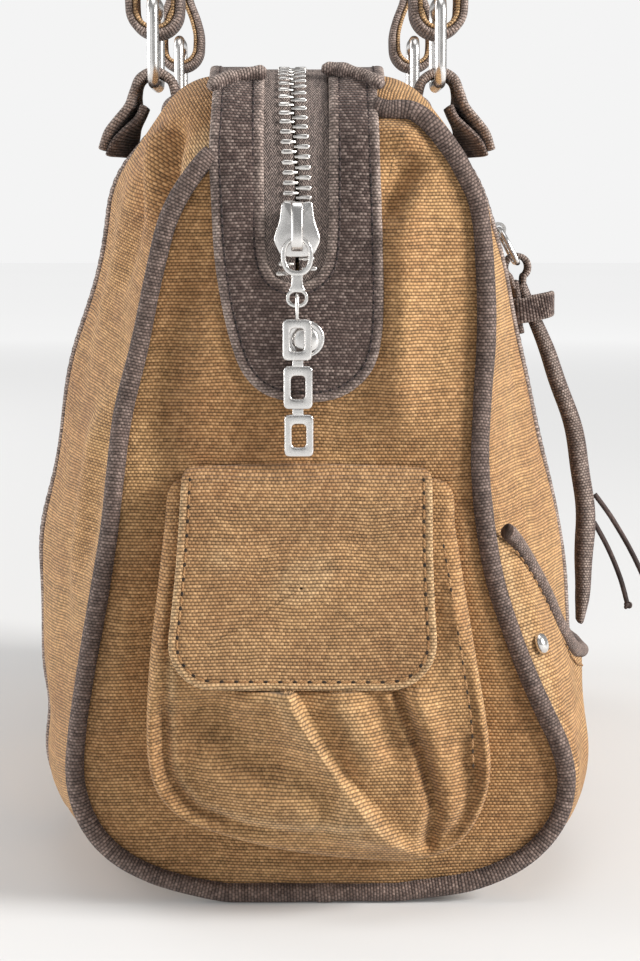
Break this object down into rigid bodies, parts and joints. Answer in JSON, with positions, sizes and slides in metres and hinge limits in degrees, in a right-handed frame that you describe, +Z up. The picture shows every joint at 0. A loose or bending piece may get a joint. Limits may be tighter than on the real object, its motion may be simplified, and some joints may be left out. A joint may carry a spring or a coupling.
{
  "type": "satchel bag",
  "caption": "Canvas satchel with a long top zip, flapped end pockets, a scooped front pocket, a hanging fabric pull and two handles on metal rings.",
  "frame": {"origin": "centre of the base, on the surface the bag stands on", "axes": "+X along the bag towards its right end, -Y towards its front, +Z up"},
  "size_m": [0.3972, 0.2126, 0.427],
  "materials": {
    "tan_canvas": "waxed cotton canvas, tan",
    "dark_canvas": "cotton canvas, dark grey-brown",
    "zip_tape": "herringbone woven tape",
    "lining": "plain cotton lining",
    "board": "stiff base board",
    "metal": "satin nickel plate",
    "teeth": "bright nickel zip teeth",
    "lace": "dark waxed lace"
  },
  "bodies": {
    "bag": {"back_left_band": "dark_canvas", "back_left_chape": "dark_canvas", "back_panel": "tan_canvas", "back_right_band": "dark_canvas", "back_right_chape": "dark_canvas", "back_top_facing": "dark_canvas", "base_board": "board", "base_panel": "tan_canvas", "front_left_band": "dark_canvas", "front_left_chape": "dark_canvas", "front_panel": "tan_canvas", "front_pocket": "tan_canvas", "front_pocket_piping": "dark_canvas", "front_pocket_rivets": "metal", "front_right_band": "dark_canvas", "front_right_chape": "dark_canvas", "front_top_facing": "dark_canvas", "front_zip_tape": "zip_tape", "front_zip_teeth": "teeth", "left_end_panel": "tan_canvas", "left_piping": "dark_canvas", "left_pocket_body": "tan_canvas", "left_snap_socket": "metal", "left_tab_disc": "metal", "left_zip_tab": "dark_canvas", "lining": "lining", "main_zip_tape_back": "zip_tape", "main_zip_tape_front": "zip_tape", "main_zip_teeth_back": "teeth", "main_zip_teeth_front": "teeth", "right_end_panel": "tan_canvas", "right_piping": "dark_canvas", "right_pocket_body": "tan_canvas", "right_snap_socket": "metal", "right_tab_disc": "metal", "right_zip_tab": "dark_canvas"},
    "front_rings": {"front_left_ring": "metal", "front_right_ring": "metal"},
    "back_rings": {"back_left_ring": "metal", "back_right_ring": "metal"},
    "front_handle": {"front_handle_strap": "dark_canvas", "front_handle_lining": "tan_canvas"},
    "back_handle": {"back_handle_strap": "dark_canvas", "back_handle_lining": "tan_canvas"},
    "slider": {"main_slider": "metal"},
    "puller": {"main_puller": "metal"},
    "tag": {"main_tag": "metal"},
    "left_flap": {"left_pocket_flap": "tan_canvas", "left_snap_stud": "metal"},
    "right_flap": {"right_pocket_flap": "tan_canvas", "right_snap_stud": "metal"},
    "pocket_slider": {"front_zip_slider": "metal"},
    "pull_ring": {"front_zip_ring": "metal"},
    "pull": {"pull_strap": "dark_canvas", "pull_keeper": "dark_canvas", "upper_lace": "lace", "upper_lace_knot": "lace", "lower_lace": "lace", "lower_lace_knot": "lace"}
  },
  "joints": [
    {"name": "front_rings_tilt", "type": "hinge", "parent": "bag", "child": "front_rings", "pos_m": [0, -0.047, 0.2535], "axis": [1, 0, 0], "range_deg": [-8, 60]},
    {"name": "back_rings_tilt", "type": "hinge", "parent": "bag", "child": "back_rings", "pos_m": [0, 0.047, 0.2535], "axis": [-1, 0, 0], "range_deg": [-8, 60]},
    {"name": "front_handle_drop", "type": "hinge", "parent": "front_rings", "child": "front_handle", "pos_m": [0, -0.047, 0.2805], "axis": [1, 0, 0], "range_deg": [-5, 85]},
    {"name": "back_handle_drop", "type": "hinge", "parent": "back_rings", "child": "back_handle", "pos_m": [0, 0.047, 0.2805], "axis": [-1, 0, 0], "range_deg": [-5, 85]},
    {"name": "zip_slide", "type": "slide", "parent": "bag", "child": "slider", "axis": [0, 0, 1], "range_m": [0, 0.012]},
    {"name": "puller_swing", "type": "hinge", "parent": "slider", "child": "puller", "pos_m": [-0.18045, 0, 0.20275], "axis": [0, 1, 0], "range_deg": [0, 160]},
    {"name": "tag_swing", "type": "hinge", "parent": "puller", "child": "tag", "pos_m": [-0.18045, 0, 0.18315], "axis": [0, 1, 0], "range_deg": [0, 30]},
    {"name": "left_flap_lift", "type": "hinge", "parent": "bag", "child": "left_flap", "pos_m": [-0.1756, 0, 0.133], "axis": [0, 1, 0], "range_deg": [0, 70]},
    {"name": "right_flap_lift", "type": "hinge", "parent": "bag", "child": "right_flap", "pos_m": [0.1756, 0, 0.133], "axis": [0, -1, 0], "range_deg": [0, 70]},
    {"name": "front_zip_slide", "type": "slide", "parent": "bag", "child": "pocket_slider", "axis": [1, 0, 0], "range_m": [0, 0.124]},
    {"name": "pull_ring_swing", "type": "hinge", "parent": "pocket_slider", "child": "pull_ring", "pos_m": [-0.062, -0.07005, 0.20548], "axis": [-1, 0, 0], "range_deg": [0, 10]},
    {"name": "pull_swing", "type": "hinge", "parent": "pull_ring", "child": "pull", "pos_m": [-0.062, -0.07605, 0.19398], "axis": [-1, 0, 0], "range_deg": [0, 20]}
  ]
}
